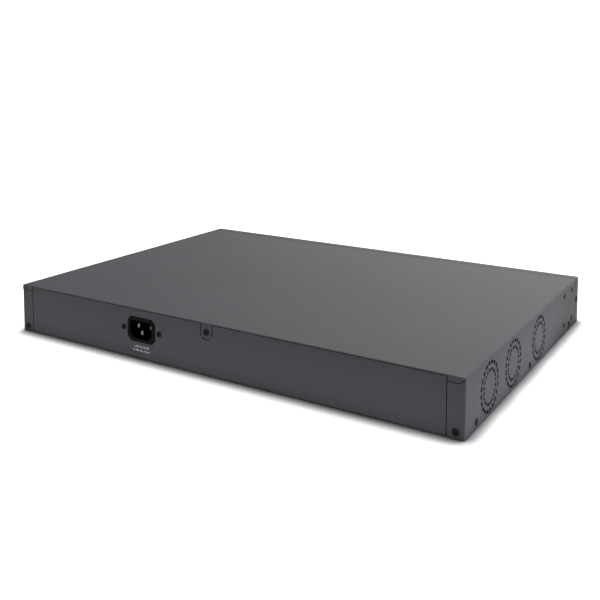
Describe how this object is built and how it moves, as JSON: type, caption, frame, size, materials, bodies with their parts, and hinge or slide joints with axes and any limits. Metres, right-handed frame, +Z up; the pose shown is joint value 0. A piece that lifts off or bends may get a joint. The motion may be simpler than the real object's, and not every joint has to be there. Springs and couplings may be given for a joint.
{
  "type": "rackmount network switch",
  "caption": "Flat steel rack-height network switch with round side fan vents, a rear mains inlet, rows of network ports and module cages in front.",
  "frame": {"origin": "centre of the underside of the case", "axes": "+X along the length, to the right seen from the front; +Y to the rear; +Z up"},
  "size_m": [0.441, 0.308, 0.044],
  "materials": {
    "cover_paint": "fine textured powder coat, mid grey",
    "chassis_paint": "fine textured powder coat, mid grey",
    "panel_paint": "fine textured powder coat, mid grey",
    "black_screw": "black oxide",
    "inlet_screw": "dark zinc",
    "zinc_steel": "bright zinc",
    "inlet_plastic": "moulded, fine grain",
    "plated_pin": "nickel plated",
    "circuit_board": "green solder mask",
    "power_board": "olive laminate",
    "insulator_film": "satin film",
    "port_plastic": "moulded",
    "shield_metal": "nickel silver sheet",
    "gold_contact": "gold flash",
    "led_body": "clear green",
    "light_pipe": "clear moulded acrylic",
    "button_plastic": "moulded",
    "chip_body": "moulded epoxy",
    "heat_sink": "anodised",
    "capacitor_can": "shrink sleeve",
    "ferrite": "sintered",
    "fuse_body": "glass tube",
    "header_plastic": "moulded, off white",
    "lead_brown": "pvc",
    "lead_green": "pvc",
    "lead_red": "pvc",
    "lead_black": "pvc",
    "fan_plastic": "moulded",
    "fan_rotor_plastic": "moulded",
    "copper_coil": "enamelled winding"
  },
  "bodies": {
    "chassis": {"board_capacitors": "capacitor_can", "board_inductors": "ferrite", "board_links": "header_plastic", "board_screws": "zinc_steel", "board_standoffs": "zinc_steel", "bulk_capacitors": "capacitor_can", "button_switches": "port_plastic", "chassis_base": "chassis_paint", "core_heat_sink": "heat_sink", "earth_lead": "lead_green", "fan_frame_1": "fan_plastic", "fan_frame_2": "fan_plastic", "fan_frame_3": "fan_plastic", "fan_headers": "header_plastic", "fan_leads": "lead_black", "fan_screws": "zinc_steel", "fan_stators": "copper_coil", "front_panel": "panel_paint", "front_panel_screws": "black_screw", "inlet_body": "inlet_plastic", "inlet_pins": "plated_pin", "inlet_screws": "inlet_screw", "lead_headers": "header_plastic", "led_board": "circuit_board", "light_pipes": "light_pipe", "line_choke": "ferrite", "line_fuse": "fuse_body", "main_board": "circuit_board", "mains_leads": "lead_brown", "mains_transformer": "ferrite", "memory_chips": "chip_body", "output_capacitors": "capacitor_can", "phy_heat_sinks": "heat_sink", "poe_board": "circuit_board", "poe_controllers": "chip_body", "poe_heat_sink": "heat_sink", "port_block_left": "port_plastic", "port_block_right": "port_plastic", "port_contacts": "gold_contact", "port_phy_chips": "chip_body", "port_shield_left": "shield_metal", "port_shield_right": "shield_metal", "port_transformers": "chip_body", "power_board": "power_board", "power_heat_sinks": "heat_sink", "power_insulator": "insulator_film", "power_transistors": "chip_body", "rear_cover_screws": "black_screw", "sfp_cages": "shield_metal", "sfp_connectors": "port_plastic", "side_cover_screws": "black_screw", "status_leds": "led_body", "supply_harness": "lead_red", "switch_core_chip": "chip_body", "top_cover": "cover_paint"},
    "rotor_1": {"fan_rotor_1": "fan_rotor_plastic"},
    "rotor_2": {"fan_rotor_2": "fan_rotor_plastic"},
    "rotor_3": {"fan_rotor_3": "fan_rotor_plastic"},
    "mode_key": {"mode_button": "button_plastic"},
    "reset_key": {"reset_button": "button_plastic"}
  },
  "joints": [
    {"name": "fan_1_spin", "type": "hinge", "parent": "chassis", "child": "rotor_1", "pos_m": [-0.208, 0.1042, 0.0214], "axis": [1, 0, 0], "continuous": true},
    {"name": "fan_2_spin", "type": "hinge", "parent": "chassis", "child": "rotor_2", "pos_m": [-0.208, 0.0498, 0.0214], "axis": [1, 0, 0], "continuous": true},
    {"name": "fan_3_spin", "type": "hinge", "parent": "chassis", "child": "rotor_3", "pos_m": [-0.208, -0.0195, 0.0214], "axis": [1, 0, 0], "continuous": true},
    {"name": "mode_button_push", "type": "slide", "parent": "chassis", "child": "mode_key", "axis": [0, 1, 0], "range_m": [0, 0.0005], "stiffness_N_per_m": 600, "springref_m": -0.0005},
    {"name": "reset_button_push", "type": "slide", "parent": "chassis", "child": "reset_key", "axis": [0, 1, 0], "range_m": [0, 0.0005], "stiffness_N_per_m": 600, "springref_m": -0.0005}
  ]
}
